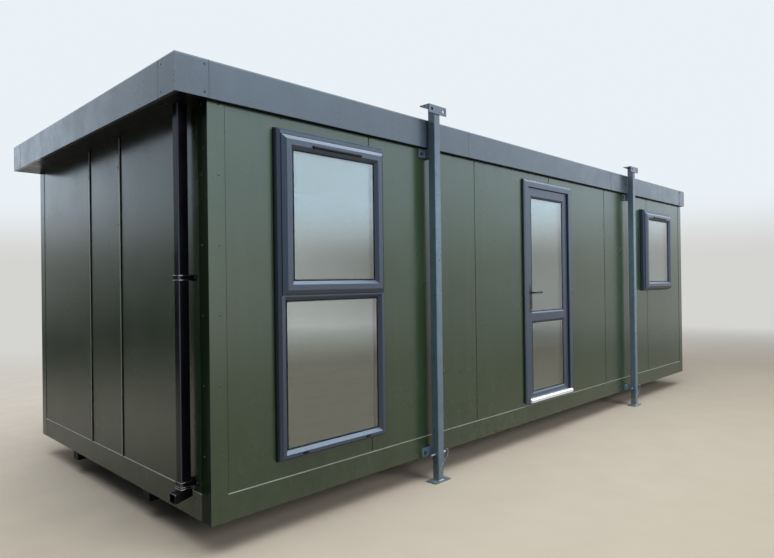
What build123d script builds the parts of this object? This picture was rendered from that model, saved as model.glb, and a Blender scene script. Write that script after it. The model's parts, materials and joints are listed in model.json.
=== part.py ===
from build123d import *
import os

# Portable site cabin, 24 ft by 10 ft, steel clad, standing on four telescopic jack legs.
# Millimetres. X runs along the cabin from the near (gutter) end to the far end, Y from the
# front wall (door and windows) to the back wall, Z up from the ground. The origin is on the
# ground, in the middle of the cabin's own outline.

# Body
body_length = 7320.0
body_width = 2990.0
stand_height = 180.0
wall_height = 2335.0
wall_lap = 80.0
wall_thickness = 50.0
sheet_width = 1219.0
joint_width = 3.0
joint_depth = 1.5
end_joint_1 = 1190.0
end_joint_2 = 1762.0

# Steel flashings on the walls
trim_leg = 105.0
trim_thickness = 2.5
skirt_height = 155.0
skirt_thickness = 1.5

# Floor and chassis
floor_top = 184.0
floor_thickness = 70.0
beam_width = 50.0
beam_wall = 6.0
cross_beam_pitch = 610.0
runner_width = 100.0
runner_depth = 60.0
runner_spacing = 1310.0

# Roof
fascia_height = 208.0
fascia_thickness = 2.0
fascia_flange = 50.0
near_overhang = 200.0
soffit_return = 25.0
far_overhang = 60.0
side_overhang = 33.0
cap_leg = 195.0
cap_thickness = 1.5
deck_thickness = 60.0
soffit_thickness = 3.0
roof_fall = 35.0
roof_sheet_thickness = 2.0
rib_height = 22.0
rib_base = 60.0
rib_crown = 30.0
rib_pitch = 200.0
sheet_drip = 40.0
gutter_width = 140.0
gutter_depth = 95.0
gutter_thickness = 2.0
gutter_setback = 30.0

# Downpipe
pipe_size = 61.0
pipe_corner = 6.0
pipe_wall = 2.5
pipe_standoff = 26.0
pipe_from_front = 205.0
pipe_bottom = 158.0
spigot_clearance = 0.3
spigot_length = 60.0
shoe_wall = 4.0
shoe_socket = 26.0
shoe_drop = 48.0
shoe_throw = 34.0
clip_heights = [1362.0, 206.0]
clip_width = 30.0
clip_thickness = 3.0
clip_ear = 34.0

# Windows, all on the front wall; heights are above the foot of the wall
frame_proud = 54.0
frame_depth = 70.0
frame_face = 34.0
frame_bevel_width = 14.0
frame_bevel_depth = 20.0
bead_width = 24.0
bead_depth = 23.0
glass_thickness = 28.0
glass_cover = 10.0
window_width = 882.0
tall_window_left = 429.0
tall_window_bottom = 264.0
window_top = 2252.0
transom_bottom = 1241.0
small_window_from_far_end = 545.0
small_window_bottom = 1176.0
small_window_top = 2182.0
sash_margin = 18.0
sash_head_margin = 38.0
sash_foot_drop = 4.0
sash_overlap = 12.0
sash_proud = 24.0
sash_bevel = 26.0
sash_gap = 4.0
sash_face = 34.0
sash_depth = 66.0
gasket_step = 6.0
vent_length = 400.0
vent_height = 16.0
vent_proud = 15.0
vent_wall = 2.5

# Door and its frame
door_left = 3172.0
door_right = 4069.0
door_foot = 186.0
door_head = 2256.0
door_proud = 28.0
door_bevel_width = 16.0
door_bevel_depth = 9.0
door_frame_depth = 70.0
door_jamb_face = 68.0
door_head_face = 62.0
door_stop_depth = 15.0
door_clearance = 5.0
lock_side_room = 2.5
leaf_overlap = 15.0
leaf_thickness = 50.0
leaf_stile = 102.0
leaf_top_rail = 112.0
leaf_bottom_rail = 49.0
leaf_mid_bottom = 922.0
leaf_mid_top = 1024.0
leaf_bead = 17.0
threshold_top = 216.0
threshold_nose = 20.0
threshold_nose_drop = 34.0
hinge_count = 3
hinge_end_gap = 260.0
hinge_radius = 8.0
hinge_pin_radius = 5.0
hinge_pin_clearance = 0.2
hinge_height = 90.0
hinge_flap = 34.0
hinge_plate = 3.0
hinge_gap = 0.5

# Lever handle
lever_height = 1204.0
lever_backset = 57.0
cylinder_drop = 92.0
plate_width = 34.0
plate_above = 74.0
plate_below = 176.0
plate_thickness = 9.0
plate_corner = 6.0
spindle_radius = 8.0
spindle_clearance = 0.3
lever_neck = 40.0
lever_length = 118.0
lever_radius = 8.5
lever_thickness = 12.0
lever_gap = 0.3
cylinder_radius = 8.5
cylinder_proud = 5.0

# Jack legs: an outer post bolted to the wall, an inner leg that slides in it
post_from_near_end = 1830.0
post_from_far_end = 1865.0
post_size = 65.0
post_wall = 4.0
post_corner = 6.0
post_standoff = 46.0
post_foot = -15.0
post_top = 2632.0
leg_size = 55.0
leg_wall = 4.0
leg_length = 1900.0
foot_length = 175.0
foot_width = 94.0
foot_thickness = 8.0
pin_radius = 9.0
pin_clearance = 0.3
pin_length = 165.0
pin_height = 24.0
slot_clearance = 1.0
leg_hole_count = 3
leg_hole_pitch = 500.0
angle_length = 200.0
angle_depth = 92.0
angle_drop = 63.0
angle_thickness = 8.0
lifting_hole_radius = 13.0
lifting_hole_spacing = 134.0
lifting_hole_drop = 32.0
bracket_length = 200.0
bracket_height = 66.0
bracket_thickness = 8.0
bracket_gusset = 8.0
bracket_below_fascia = 11.0

# Places worked out from the sizes above
beam_depth = floor_top - floor_thickness
near_x = -(near_overhang + body_length + far_overhang) / 2 + near_overhang
far_x = near_x + body_length
front_y = -body_width / 2
back_y = body_width / 2
base_z = stand_height
soffit_z = base_z + wall_height
wall_top_z = soffit_z + wall_lap
roof_z = soffit_z + fascia_height
deck_top_z = wall_top_z + deck_thickness
floor_z = base_z + floor_top
inner_near_x = near_x + wall_thickness
inner_far_x = far_x - wall_thickness
inner_front_y = front_y + wall_thickness
inner_back_y = back_y - wall_thickness

nodes = {}


def slab(x0, x1, y0, y1, z0, z1):
    """A plain block between two opposite corners."""
    block = Box(x1 - x0, y1 - y0, z1 - z0)
    return Pos((x0 + x1) / 2, (y0 + y1) / 2, (z0 + z1) / 2) * block


def mirror_y(solid):
    """The same piece on the back wall."""
    return mirror(solid, about=Plane.XZ)


def front_rectangle(x0, x1, z0, z1, y):
    """A rectangle standing in the plane of the front wall at depth y."""
    plane = Plane(origin=((x0 + x1) / 2, y, (z0 + z1) / 2), x_dir=(1, 0, 0), z_dir=(0, -1, 0))
    return plane * Rectangle(x1 - x0, z1 - z0)


def tapered_block(x0, x1, z0, z1, y_front, y_back, widen):
    """A block that is wider by widen on every side at its front than at its back."""
    front = front_rectangle(x0 - widen, x1 + widen, z0 - widen, z1 + widen, y_front)
    back = front_rectangle(x0, x1, z0, z1, y_back)
    return loft([front.face(), back.face()])


def square_tube(size, wall, z0, z1, corner=0.0):
    """An upright square tube on the Z axis, its outer corners rounded when corner is given."""
    outer = Rectangle(size, size)
    if corner > 0:
        outer = fillet(outer.vertices(), corner)
    inner = Rectangle(size - 2 * wall, size - 2 * wall)
    return Pos(0, 0, z0) * extrude(outer - inner, z1 - z0)


# Walls: sandwich panels with the laps of the cladding sheets as shallow grooves

def sheet_grooves(y_face, inward):
    """Grooves of the upright sheet joints on a long wall whose outer face is at y_face."""
    grooves = []
    x = near_x + sheet_width
    while x < far_x - joint_width:
        y_in = y_face + inward * joint_depth
        grooves.append(slab(x - joint_width / 2, x + joint_width / 2,
                            min(y_face, y_in), max(y_face, y_in), base_z, wall_top_z))
        x += sheet_width
    return grooves


def end_grooves(x_face, inward):
    """Grooves of the two sheet joints on an end wall whose outer face is at x_face."""
    x_in = x_face + inward * joint_depth
    return [slab(min(x_face, x_in), max(x_face, x_in), front_y + y - joint_width / 2,
                 front_y + y + joint_width / 2, base_z, wall_top_z) for y in (end_joint_1, end_joint_2)]


def window_opening(left, bottom, top):
    return slab(near_x + left, near_x + left + window_width, front_y, inner_front_y,
                base_z + bottom, base_z + top)


small_window_left = body_length - small_window_from_far_end - window_width
door_x0 = near_x + door_left
door_x1 = near_x + door_right
door_z0 = base_z + door_foot
door_z1 = base_z + door_head
front_grooves = sheet_grooves(front_y, 1)

near_panel = slab(near_x, door_x0, front_y, inner_front_y, base_z, wall_top_z)
near_panel -= window_opening(tall_window_left, tall_window_bottom, window_top)
nodes["front_wall_near"] = near_panel - front_grooves

far_panel = slab(door_x1, far_x, front_y, inner_front_y, base_z, wall_top_z)
far_panel -= window_opening(small_window_left, small_window_bottom, small_window_top)
nodes["front_wall_far"] = far_panel - front_grooves

over_door = slab(door_x0, door_x1, front_y, inner_front_y, door_z1, wall_top_z)
nodes["front_wall_over_door"] = over_door - front_grooves

under_door = slab(door_x0, door_x1, front_y, inner_front_y, base_z, door_z0)
nodes["front_wall_under_door"] = under_door - front_grooves

back_panel = slab(near_x, far_x, inner_back_y, back_y, base_z, wall_top_z)
nodes["back_wall"] = back_panel - sheet_grooves(back_y, -1)

near_end = slab(near_x, inner_near_x, inner_front_y, inner_back_y, base_z, wall_top_z)
nodes["near_end_wall"] = near_end - end_grooves(near_x, 1)

far_end = slab(inner_far_x, far_x, inner_front_y, inner_back_y, base_z, wall_top_z)
nodes["far_end_wall"] = far_end - end_grooves(far_x, -1)


# Corner angles and skirt bands over the cladding

def corner_trim(x_side, y_side):
    """A folded steel angle over one upright corner of the walls."""
    t = trim_thickness
    corner_x = near_x if x_side < 0 else far_x
    corner_y = front_y if y_side < 0 else back_y
    outer_x = corner_x + x_side * t
    outer_y = corner_y + y_side * t
    in_x = corner_x - x_side * (trim_leg - t)
    in_y = corner_y - y_side * (trim_leg - t)
    full = slab(min(outer_x, in_x), max(outer_x, in_x), min(outer_y, in_y), max(outer_y, in_y),
                base_z, soffit_z)
    hollow = slab(min(corner_x, in_x), max(corner_x, in_x), min(corner_y, in_y), max(corner_y, in_y),
                  base_z, soffit_z)
    return full - hollow


nodes["corner_trims"] = [corner_trim(i, j) for i in (-1, 1) for j in (-1, 1)]

skirt_end = trim_leg - trim_thickness
skirt_z = base_z + skirt_height
front_skirt = slab(near_x + skirt_end, far_x - skirt_end, front_y - skirt_thickness, front_y,
                   base_z, skirt_z)
near_skirt = slab(near_x - skirt_thickness, near_x, front_y + skirt_end, back_y - skirt_end,
                  base_z, skirt_z)
far_skirt = slab(far_x, far_x + skirt_thickness, front_y + skirt_end, back_y - skirt_end,
                 base_z, skirt_z)
nodes["skirt_flashings"] = [front_skirt, mirror_y(front_skirt), near_skirt, far_skirt]

# Floor deck on a frame of channels, with two runners below it

floor_under_z = floor_z - floor_thickness
nodes["floor_deck"] = slab(inner_near_x, inner_far_x, inner_front_y, inner_back_y, floor_under_z, floor_z)


def channel_beam(length):
    """A channel section lying along X from 0 to length, its web on the side towards +Y."""
    web = slab(0, length, beam_width - beam_wall, beam_width, 0, beam_depth)
    low = slab(0, length, 0, beam_width, 0, beam_wall)
    high = slab(0, length, 0, beam_width, beam_depth - beam_wall, beam_depth)
    return web + low + high


front_beam = Pos(inner_near_x, inner_front_y, base_z) * channel_beam(inner_far_x - inner_near_x)
nodes["chassis_side_beams"] = [front_beam, mirror_y(front_beam)]

cross_length = inner_back_y - inner_front_y - 2 * beam_width
cross_beam = Pos(inner_near_x, cross_length / 2, base_z) * Rot(0, 0, -90) * channel_beam(cross_length)
cross_beams = [cross_beam, mirror(cross_beam, about=Plane.YZ.offset((inner_near_x + inner_far_x) / 2))]
beam_x = cross_beam_pitch
while beam_x < inner_far_x - inner_near_x - cross_beam_pitch / 2:
    cross_beams.append(Pos(beam_x, 0, 0) * cross_beam)
    beam_x += cross_beam_pitch
nodes["chassis_cross_beams"] = cross_beams

runner = slab(near_x, far_x, runner_spacing / 2 - runner_width / 2, runner_spacing / 2 + runner_width / 2,
              base_z - runner_depth, base_z)
nodes["chassis_runners"] = [runner, mirror_y(runner)]

# Roof: a tapered deck on the walls, and a ribbed steel sheet that falls to the gutter end

deck_profile = Polyline((near_x, wall_top_z), (far_x, wall_top_z), (far_x, deck_top_z + roof_fall),
                        (near_x, deck_top_z), close=True)
nodes["roof_deck"] = extrude(Plane.XZ * make_face(deck_profile), body_width / 2, both=True)


def rib_outline():
    """The ribbed sheet's cross-section in Y and Z, its underside at zero."""
    edge = body_width / 2
    upper = [(-edge, 0)]
    rib_total = int((body_width - rib_base) // rib_pitch) + 1
    first = -(rib_total - 1) * rib_pitch / 2
    for i in range(rib_total):
        y = first + i * rib_pitch
        upper += [(y - rib_base / 2, 0), (y - rib_crown / 2, rib_height),
                  (y + rib_crown / 2, rib_height), (y + rib_base / 2, 0)]
    upper.append((edge, 0))
    lifted = [(y, z + roof_sheet_thickness) for y, z in reversed(upper)]
    return Polyline(*(upper + lifted), close=True)


sheet_near_x = near_x - sheet_drip
sheet_run = far_x - sheet_near_x
sheet_rise = roof_fall / body_length
sheet_low_z = deck_top_z - sheet_rise * sheet_drip
sheet_plane = Plane(origin=(sheet_near_x, 0, sheet_low_z), x_dir=(0, 1, 0), z_dir=(1, 0, 0))
sheet_face = sheet_plane * make_face(rib_outline())
sheet_direction = Vector(1, 0, sheet_rise).normalized()
nodes["roof_sheet"] = extrude(sheet_face, sheet_run / sheet_direction.X, dir=sheet_direction)

# Fascia: folded steel, a web with flanges turned in at top and foot

ring_x0 = near_x - near_overhang
ring_x1 = far_x + far_overhang
ring_y0 = front_y - side_overhang
ring_y1 = back_y + side_overhang


def fascia_long(y_side):
    """The fascia of a long side, running past both ends."""
    t = fascia_thickness
    web = slab(ring_x0, ring_x1, ring_y0, ring_y0 + t, soffit_z, roof_z)
    top = slab(ring_x0 + t, ring_x1 - t, ring_y0, ring_y0 + fascia_flange, roof_z - t, roof_z)
    foot = slab(near_x, far_x, ring_y0, front_y, soffit_z, soffit_z + t)
    piece = web + top + foot
    return piece if y_side < 0 else mirror_y(piece)


def fascia_end(x_outer, inward, foot_width):
    """The fascia across one end, between the two long ones."""
    t = fascia_thickness
    y0 = ring_y0 + t
    y1 = ring_y1 - t
    x_web = x_outer + inward * t
    x_foot = x_outer + inward * foot_width
    x_top = x_outer + inward * fascia_flange
    web = slab(min(x_outer, x_web), max(x_outer, x_web), y0, y1, soffit_z, roof_z)
    foot = slab(min(x_outer, x_foot), max(x_outer, x_foot), y0, y1, soffit_z, soffit_z + t)
    y2 = ring_y0 + fascia_flange
    y3 = ring_y1 - fascia_flange
    top = slab(min(x_outer, x_top), max(x_outer, x_top), y2, y3, roof_z - t, roof_z)
    return web + foot + top


nodes["fascia_front"] = fascia_long(-1)
nodes["fascia_back"] = fascia_long(1)
nodes["fascia_near_end"] = fascia_end(ring_x0, 1, soffit_return)
nodes["fascia_far_end"] = fascia_end(ring_x1, -1, far_overhang)


def corner_cap(x_side, y_side):
    """A folded angle over one corner of the fascia."""
    t = cap_thickness
    corner_x = ring_x0 if x_side < 0 else ring_x1
    corner_y = ring_y0 if y_side < 0 else ring_y1
    xs = sorted((corner_x + x_side * t, corner_x - x_side * (cap_leg - t)))
    ys = sorted((corner_y + y_side * t, corner_y - y_side * (cap_leg - t)))
    inner_xs = sorted((corner_x, corner_x - x_side * cap_leg))
    inner_ys = sorted((corner_y, corner_y - y_side * cap_leg))
    full = slab(xs[0], xs[1], ys[0], ys[1], soffit_z, roof_z)
    return full - slab(inner_xs[0], inner_xs[1], inner_ys[0], inner_ys[1], soffit_z, roof_z)


nodes["fascia_corner_caps"] = [corner_cap(i, j) for i in (-1, 1) for j in (-1, 1)]

# Overhang at the near end: soffit panel, gutter trough with its outlet, downpipe

pipe_x = near_x - pipe_standoff - pipe_size / 2
pipe_y = front_y + pipe_from_front
spigot_size = pipe_size - 2 * pipe_wall - 2 * spigot_clearance
soffit_panel = slab(ring_x0 + fascia_thickness, near_x, ring_y0 + fascia_thickness,
                    ring_y1 - fascia_thickness, soffit_z + fascia_thickness,
                    soffit_z + fascia_thickness + soffit_thickness)


def spigot_profile(inset):
    """The square outlet, drawn in by inset on every side."""
    return Pos(pipe_x, pipe_y, 0) * Rectangle(spigot_size - 2 * inset, spigot_size - 2 * inset)


nodes["soffit_near_end"] = soffit_panel - Pos(0, 0, soffit_z) * extrude(spigot_profile(0), spigot_length)

gutter_x1 = near_x - pipe_standoff + gutter_thickness
gutter_x0 = gutter_x1 - gutter_width
gutter_z = soffit_z + fascia_thickness + soffit_thickness
gutter_y0 = front_y + gutter_setback
gutter_y1 = back_y - gutter_setback
trough = slab(gutter_x0, gutter_x1, gutter_y0, gutter_y1, gutter_z, gutter_z + gutter_depth)
trough -= slab(gutter_x0 + gutter_thickness, gutter_x1 - gutter_thickness, gutter_y0 + gutter_thickness,
               gutter_y1 - gutter_thickness, gutter_z + gutter_thickness, gutter_z + gutter_depth)
spigot = Pos(0, 0, gutter_z - spigot_length) * extrude(spigot_profile(0), spigot_length)
outlet = Pos(0, 0, gutter_z - spigot_length) * extrude(spigot_profile(gutter_thickness),
                                                       spigot_length + gutter_thickness)
nodes["roof_gutter"] = trough + spigot - outlet

pipe_foot_z = base_z + pipe_bottom
pipe_head_z = soffit_z + fascia_thickness
nodes["downpipe"] = Pos(pipe_x, pipe_y, 0) * square_tube(pipe_size, pipe_wall, pipe_foot_z, pipe_head_z,
                                                         pipe_corner)


def shoe():
    """The outlet shoe: a socket round the pipe's foot and a mouth turned away from the wall."""
    outer = pipe_size + 2 * shoe_wall
    half = outer / 2
    z_top = pipe_foot_z + shoe_socket
    z_low = pipe_foot_z - shoe_drop
    side = [(-half, z_top), (half, z_top), (half, z_low + shoe_drop / 2), (-half - shoe_throw, z_low),
            (-half - shoe_throw, pipe_foot_z + shoe_wall), (-half, pipe_foot_z + shoe_wall)]
    body = extrude(Plane.XZ * make_face(Polyline(*side, close=True)), outer / 2, both=True)
    bore_half = pipe_size / 2
    channel = [(-bore_half + pipe_wall, z_top), (bore_half - pipe_wall, z_top),
               (bore_half - pipe_wall, z_low + shoe_drop / 2 + shoe_wall),
               (-half - shoe_throw, z_low + shoe_wall), (-half - shoe_throw, pipe_foot_z),
               (-bore_half + pipe_wall, pipe_foot_z)]
    inside = extrude(Plane.XZ * make_face(Polyline(*channel, close=True)),
                     bore_half - pipe_wall, both=True)
    socket = extrude(Rectangle(pipe_size, pipe_size), shoe_socket)
    return body - inside - Pos(0, 0, pipe_foot_z) * socket


nodes["downpipe_shoe"] = Pos(pipe_x, pipe_y, 0) * shoe()


def pipe_clip(height):
    """A strap round the pipe with an ear on the wall at each side."""
    half = pipe_size / 2
    t = clip_thickness
    z0 = base_z + height - clip_width / 2
    wall_gap = pipe_standoff
    loop = Rectangle(pipe_size + 2 * t, pipe_size + 2 * t) - Rectangle(pipe_size, pipe_size)
    band = Pos(0, 0, z0) * extrude(loop, clip_width)
    arms = [slab(half, half + wall_gap, side * (half + t / 2) - t / 2, side * (half + t / 2) + t / 2,
                 z0, z0 + clip_width) for side in (-1, 1)]
    ear_out = half + t + clip_ear
    ears = [slab(half + wall_gap - t, half + wall_gap, -ear_out, -half, z0, z0 + clip_width),
            slab(half + wall_gap - t, half + wall_gap, half, ear_out, z0, z0 + clip_width)]
    clip = band + arms + ears
    return Pos(pipe_x, pipe_y, 0) * clip


nodes["downpipe_clips"] = [pipe_clip(height) for height in clip_heights]


# Windows: outer frame, top-hung sash over it, sealed glass units

def frame_ring(left, bottom, top):
    """Window frame stood proud of the wall, bevelled round its front; the callers cut its openings."""
    x0 = near_x + left
    ring = slab(x0, x0 + window_width, front_y - frame_proud, front_y - frame_proud + frame_depth,
                base_z + bottom, base_z + top)
    face = ring.faces().sort_by(Axis.Y)[0]
    return chamfer(face.edges(), frame_bevel_width, frame_bevel_depth, reference=face)


def sash_box(left, bottom, top):
    """Outline of the sash of a light: x0, x1, z0, z1."""
    x0 = near_x + left
    return (x0 + sash_margin, x0 + window_width - sash_margin, base_z + bottom + sash_margin,
            base_z + top - sash_head_margin)


def sash_cut(box):
    """The opening that a sash closes."""
    o = sash_overlap
    return slab(box[0] + o, box[1] - o, front_y - frame_proud, front_y - frame_proud + frame_depth,
                box[2] + o, box[3] - o)


sash_front_y = front_y - frame_proud - sash_proud
sash_glass_y = sash_front_y + bead_depth
fixed_glass_y = front_y - frame_proud + bead_depth


def daylight(box, face):
    """The sight size inside a face and its bevelled bead."""
    edge = face + bead_width
    return (box[0] + edge, box[1] - edge, box[2] + edge, box[3] - edge)


def glazing(sight, glass_y):
    """The sealed glass unit behind a sight size."""
    c = glass_cover
    return slab(sight[0] - c, sight[1] + c, glass_y, glass_y + glass_thickness, sight[2] - c, sight[3] + c)


def sash(box):
    """A sash: a flange bevelled on the outside, a shadow step, a body in the frame, a bevelled bead."""
    o = sash_overlap
    g = gasket_step
    flange = tapered_block(*box, sash_front_y, front_y - frame_proud - sash_gap, -sash_bevel)
    step = slab(box[0] + g, box[1] - g, front_y - frame_proud - sash_gap, front_y - frame_proud,
                box[2] + g, box[3] - g)
    body = slab(box[0] + o, box[1] - o, front_y - frame_proud, sash_front_y + sash_depth,
                box[2] + o, box[3] - o)
    sight = daylight(box, sash_bevel + sash_face)
    through = slab(sight[0], sight[1], sash_front_y, sash_front_y + sash_depth, sight[2], sight[3])
    bevel = tapered_block(*sight, sash_front_y, sash_glass_y, bead_width)
    return flange + step + body - through - bevel - glazing(sight, sash_glass_y)


def vent(box):
    """A slim hooded trickle vent on the top rail of a sash."""
    middle = (box[0] + box[1]) / 2
    z_low = box[3] - sash_bevel - sash_face
    y_out = sash_front_y - vent_proud
    shell = slab(middle - vent_length / 2, middle + vent_length / 2, y_out, sash_front_y,
                 z_low, z_low + vent_height)
    shell = chamfer(shell.edges().filter_by(Axis.X).group_by(Axis.Y)[0].sort_by(Axis.Z)[-1], vent_proud / 2)
    slot = slab(middle - vent_length / 2 + vent_wall, middle + vent_length / 2 - vent_wall,
                y_out + vent_wall, sash_front_y - vent_wall, z_low, z_low + vent_height / 2)
    return shell - slot


upper_sash = sash_box(tall_window_left, transom_bottom - sash_foot_drop, window_top)
tall_frame = frame_ring(tall_window_left, tall_window_bottom, window_top) - sash_cut(upper_sash)
fixed_box = (near_x + tall_window_left, near_x + tall_window_left + window_width,
             base_z + tall_window_bottom, base_z + transom_bottom + frame_face)
fixed_sight = daylight(fixed_box, frame_face)
tall_frame -= slab(fixed_sight[0], fixed_sight[1], front_y - frame_proud,
                   front_y - frame_proud + frame_depth, fixed_sight[2], fixed_sight[3])
tall_frame -= tapered_block(*fixed_sight, front_y - frame_proud, fixed_glass_y, bead_width)
tall_frame -= glazing(fixed_sight, fixed_glass_y)
nodes["tall_window_frame"] = tall_frame
nodes["tall_window_sash"] = sash(upper_sash)
nodes["tall_window_glass"] = [glazing(daylight(upper_sash, sash_bevel + sash_face), sash_glass_y),
                              glazing(fixed_sight, fixed_glass_y)]

small_sash = sash_box(small_window_left, small_window_bottom, small_window_top)
nodes["small_window_frame"] = (frame_ring(small_window_left, small_window_bottom, small_window_top)
                               - sash_cut(small_sash))
nodes["small_window_sash"] = sash(small_sash)
nodes["small_window_glass"] = glazing(daylight(small_sash, sash_bevel + sash_face), sash_glass_y)
nodes["trickle_vents"] = [vent(upper_sash), vent(small_sash)]

# Door frame: face all round, a stop behind it, and the rebate that the leaf closes into

frame_front = front_y - door_proud
frame_back = frame_front + door_frame_depth
stop_back = frame_front + door_stop_depth
clear_x0 = door_x0 + door_jamb_face
clear_x1 = door_x1 - door_jamb_face
clear_z1 = door_z1 - door_head_face
threshold_z = base_z + threshold_top
leaf_x0 = clear_x0 - leaf_overlap
leaf_x1 = clear_x1 + leaf_overlap
leaf_z0 = threshold_z + door_clearance
leaf_z1 = clear_z1 + leaf_overlap
rebate_x0 = leaf_x0 - door_clearance - lock_side_room
rebate_x1 = leaf_x1 + door_clearance
rebate_z1 = leaf_z1 + door_clearance
door_frame = slab(door_x0, door_x1, frame_front, frame_back, door_z0, door_z1)
door_face = door_frame.faces().sort_by(Axis.Y)[0]
door_frame = chamfer(door_face.edges().sort_by(Axis.Z)[1:], door_bevel_width, door_bevel_depth,
                     reference=door_face)
door_frame -= slab(clear_x0, clear_x1, frame_front, frame_back, door_z0, clear_z1)
door_frame -= slab(rebate_x0, rebate_x1, stop_back, frame_back, door_z0, rebate_z1)
nodes["door_frame"] = door_frame

sill_foot_z = threshold_z - threshold_nose_drop
sill = slab(rebate_x0, rebate_x1, stop_back, frame_back, door_z0, threshold_z)
sill += slab(clear_x0, clear_x1, frame_front, stop_back, door_z0, threshold_z)
nose = slab(leaf_x0, leaf_x1, frame_front - threshold_nose, frame_front, sill_foot_z, threshold_z)
nose = chamfer(nose.edges().filter_by(Axis.X).group_by(Axis.Y)[0].sort_by(Axis.Z)[-1], threshold_nose / 2)
nodes["door_threshold"] = sill + nose

# Door leaf: stiles, three rails and two glass units

leaf_front = stop_back + door_clearance
leaf_back = leaf_front + leaf_thickness
leaf = slab(leaf_x0, leaf_x1, leaf_front, leaf_back, leaf_z0, leaf_z1)
sight_x0 = leaf_x0 + leaf_stile
sight_x1 = leaf_x1 - leaf_stile
sights = [(sight_x0, sight_x1, leaf_z0 + leaf_bottom_rail, base_z + leaf_mid_bottom),
          (sight_x0, sight_x1, base_z + leaf_mid_top, leaf_z1 - leaf_top_rail)]
leaf_glass_y = leaf_front + (leaf_thickness - glass_thickness) / 2
door_glass = []
for sight in sights:
    leaf -= slab(sight[0], sight[1], leaf_front, leaf_back, sight[2], sight[3])
    leaf -= tapered_block(*sight, leaf_front, leaf_glass_y, leaf_bead)
    unit = glazing(sight, leaf_glass_y)
    leaf -= unit
    door_glass.append(unit)
handle_x = leaf_x0 + lever_backset
lever_z = base_z + lever_height
spindle_bore = spindle_radius + spindle_clearance
leaf -= Pos(handle_x, (leaf_front + leaf_back) / 2, lever_z) * Rot(90, 0, 0) * Cylinder(spindle_bore,
                                                                                      leaf_thickness)
nodes["door_leaf"] = leaf
nodes["door_glass"] = door_glass

# Butt hinges on the room side, one flap on the frame and one on the leaf

hinge_x = (leaf_x1 + rebate_x1) / 2
hinge_y = leaf_back + hinge_radius
hinge_span = leaf_z1 - leaf_z0 - 2 * hinge_end_gap
frame_flaps = []
leaf_flaps = []
for i in range(hinge_count):
    z_mid = leaf_z0 + hinge_end_gap + i * hinge_span / (hinge_count - 1)
    z_low = z_mid - hinge_height / 2
    z_high = z_mid + hinge_height / 2
    barrel_low = Pos(hinge_x, hinge_y, (z_low + z_mid) / 2) * Cylinder(hinge_radius, hinge_height / 2)
    pin = Pos(hinge_x, hinge_y, (z_mid + z_high) / 2) * Cylinder(hinge_pin_radius, hinge_height / 2)
    frame_flap = slab(hinge_x, hinge_x + hinge_flap, frame_back, frame_back + hinge_plate, z_low, z_mid)
    frame_flaps.append(barrel_low + pin + frame_flap)
    upper = hinge_height / 2 - hinge_gap
    upper_mid = z_high - upper / 2
    barrel_high = Pos(hinge_x, hinge_y, upper_mid) * Cylinder(hinge_radius, upper)
    leaf_flap = slab(hinge_x - hinge_flap, hinge_x, leaf_back, leaf_back + hinge_plate,
                     z_high - upper, z_high)
    bore = Pos(hinge_x, hinge_y, upper_mid) * Cylinder(hinge_pin_radius + hinge_pin_clearance, upper)
    leaf_flaps.append(barrel_high + leaf_flap - bore)
nodes["door_hinges_frame"] = frame_flaps
nodes["door_hinges_leaf"] = leaf_flaps

# Lever handle on long plates, with the key cylinder below it


def lock_plate(y_face, outward):
    """The long plate of the handle on one face of the leaf, with its cylinder."""
    y_out = y_face + outward * plate_thickness
    plate = slab(handle_x - plate_width / 2, handle_x + plate_width / 2, min(y_face, y_out),
                 max(y_face, y_out), lever_z - plate_below, lever_z + plate_above)
    plate = chamfer(plate.edges().filter_by(Axis.Y), plate_corner)
    y_hole = (y_face + y_out) / 2
    hole = Pos(handle_x, y_hole, lever_z) * Rot(90, 0, 0) * Cylinder(spindle_bore, plate_thickness)
    reach = plate_thickness + cylinder_proud
    y_mid = y_face + outward * reach / 2
    barrel = Pos(handle_x, y_mid, lever_z - cylinder_drop) * Rot(90, 0, 0) * Cylinder(cylinder_radius, reach)
    return plate - hole + barrel


nodes["door_lock_plates"] = [lock_plate(leaf_front, -1), lock_plate(leaf_back, 1)]


def lever_grip(y_face, outward):
    """The round neck and the flat, round-ended grip of the lever on one side of the leaf."""
    y_neck = y_face + outward * (plate_thickness + lever_gap)
    y_grip = y_neck + outward * lever_neck
    neck = Pos(handle_x, (y_neck + y_grip) / 2, lever_z) * Rot(90, 0, 0) * Cylinder(lever_radius, lever_neck)
    outline = SlotCenterToCenter(lever_length, 2 * lever_radius)
    grip_face = Plane(origin=(handle_x + lever_length / 2, y_grip, lever_z), x_dir=(1, 0, 0),
                      z_dir=(0, outward, 0)) * outline
    return neck + extrude(grip_face, lever_thickness)


spindle_length = leaf_thickness + 2 * (plate_thickness + lever_gap)
spindle = Pos(handle_x, (leaf_front + leaf_back) / 2, lever_z) * Rot(90, 0, 0) * Cylinder(spindle_radius,
                                                                                        spindle_length)
nodes["door_lever"] = lever_grip(leaf_front, -1) + spindle + lever_grip(leaf_back, 1)

# Jack legs: modelled once about their own upright axis, then set on each long wall

post_y = front_y - post_standoff - post_size / 2
post_half = post_size / 2
pin_z = base_z + pin_height
slot_radius = pin_radius + slot_clearance
slot_crown_z = pin_z + pin_radius + pin_clearance - slot_radius


def jack_post():
    """The outer tube, open at its foot, with a slot for the pin in both sides."""
    tube = square_tube(post_size, post_wall, base_z + post_foot, base_z + post_top, post_corner)
    slot = slab(-post_size, post_size, -slot_radius, slot_radius, base_z + post_foot, slot_crown_z)
    crown = Pos(0, 0, slot_crown_z) * Rot(0, 90, 0) * Cylinder(slot_radius, 2 * post_size)
    return tube - slot - crown


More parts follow.
